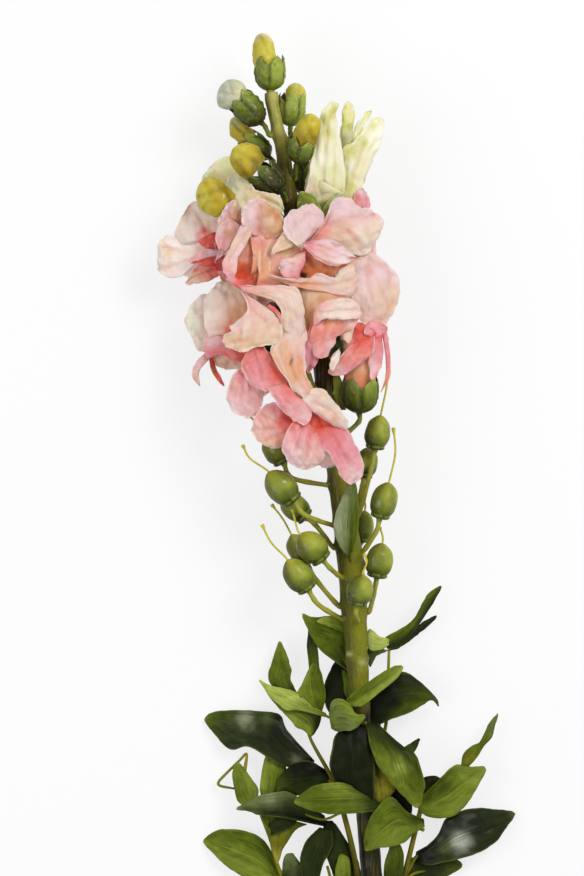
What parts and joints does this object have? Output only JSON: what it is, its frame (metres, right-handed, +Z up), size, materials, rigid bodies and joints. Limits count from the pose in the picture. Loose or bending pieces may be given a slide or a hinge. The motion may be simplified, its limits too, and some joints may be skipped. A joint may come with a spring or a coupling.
{
  "type": "snapdragon flower",
  "caption": "Cut snapdragon stem lying down: closed buds, cream and coral-pink florets, green seed capsules on stalks, and leafy side shoots.",
  "frame": {"origin": "middle of the object's box, on the table it lies on", "axes": "+Y along the stem towards the top bud, +Z up from the table, +X to the right seen from above with the buds away from the viewer"},
  "size_m": [0.1466, 0.3846, 0.0605],
  "materials": {
    "stem": "living green stem, satin",
    "bud": "waxy yellow-green petals over a ribbed green calyx",
    "calyx": "satin green sepals",
    "petal": "soft velvety petal, pale pink and cream with a coral throat",
    "cream": "soft petal, pale greenish cream",
    "capsule": "satin green fruit wall",
    "leaf": "smooth green leaf, glossy on the upper face"
  },
  "bodies": {
    "root": {"bract_front": "leaf", "branch_left": "leaf", "branch_right": "leaf", "bud_behind": "bud", "bud_front": "bud", "bud_left": "bud", "bud_lower_left": "bud", "bud_right": "bud", "bud_top": "bud", "bud_upper_left": "bud", "bud_upper_right": "bud", "calyx_bottom": "calyx", "calyx_bottom_left": "calyx", "calyx_centre": "calyx", "calyx_centre_left": "calyx", "calyx_centre_right": "calyx", "calyx_half_open_left": "calyx", "calyx_half_open_right": "calyx", "calyx_lower_left": "calyx", "calyx_lower_right": "calyx", "calyx_right": "calyx", "calyx_upper_left": "calyx", "calyx_upper_right": "calyx", "capsule_front": "capsule", "capsule_left_1": "capsule", "capsule_left_2": "capsule", "capsule_left_3": "capsule", "capsule_left_4": "capsule", "capsule_left_5": "capsule", "capsule_left_6": "capsule", "capsule_right_1": "capsule", "capsule_right_2": "capsule", "capsule_right_3": "capsule", "capsule_right_4": "capsule", "capsule_right_5": "capsule", "corolla_bottom": "petal", "corolla_bottom_left": "petal", "corolla_centre": "petal", "corolla_centre_left": "petal", "corolla_centre_right": "petal", "corolla_half_open_left": "cream", "corolla_half_open_right": "cream", "corolla_lower_left": "petal", "corolla_lower_right": "petal", "corolla_right": "petal", "corolla_upper_left": "petal", "corolla_upper_right": "petal", "leaf_base_dark": "leaf", "leaf_base_left": "leaf", "leaf_crosswise": "leaf", "leaf_drooping": "leaf", "leaf_front_light": "leaf", "leaf_left_dark": "leaf", "leaf_right_dark": "leaf", "leaf_upper_left": "leaf", "main_stem": "stem", "shoot_base": "leaf", "shoot_centre": "leaf", "shoot_lower_left": "leaf", "shoot_upper_right": "leaf"}
  },
  "joints": []
}
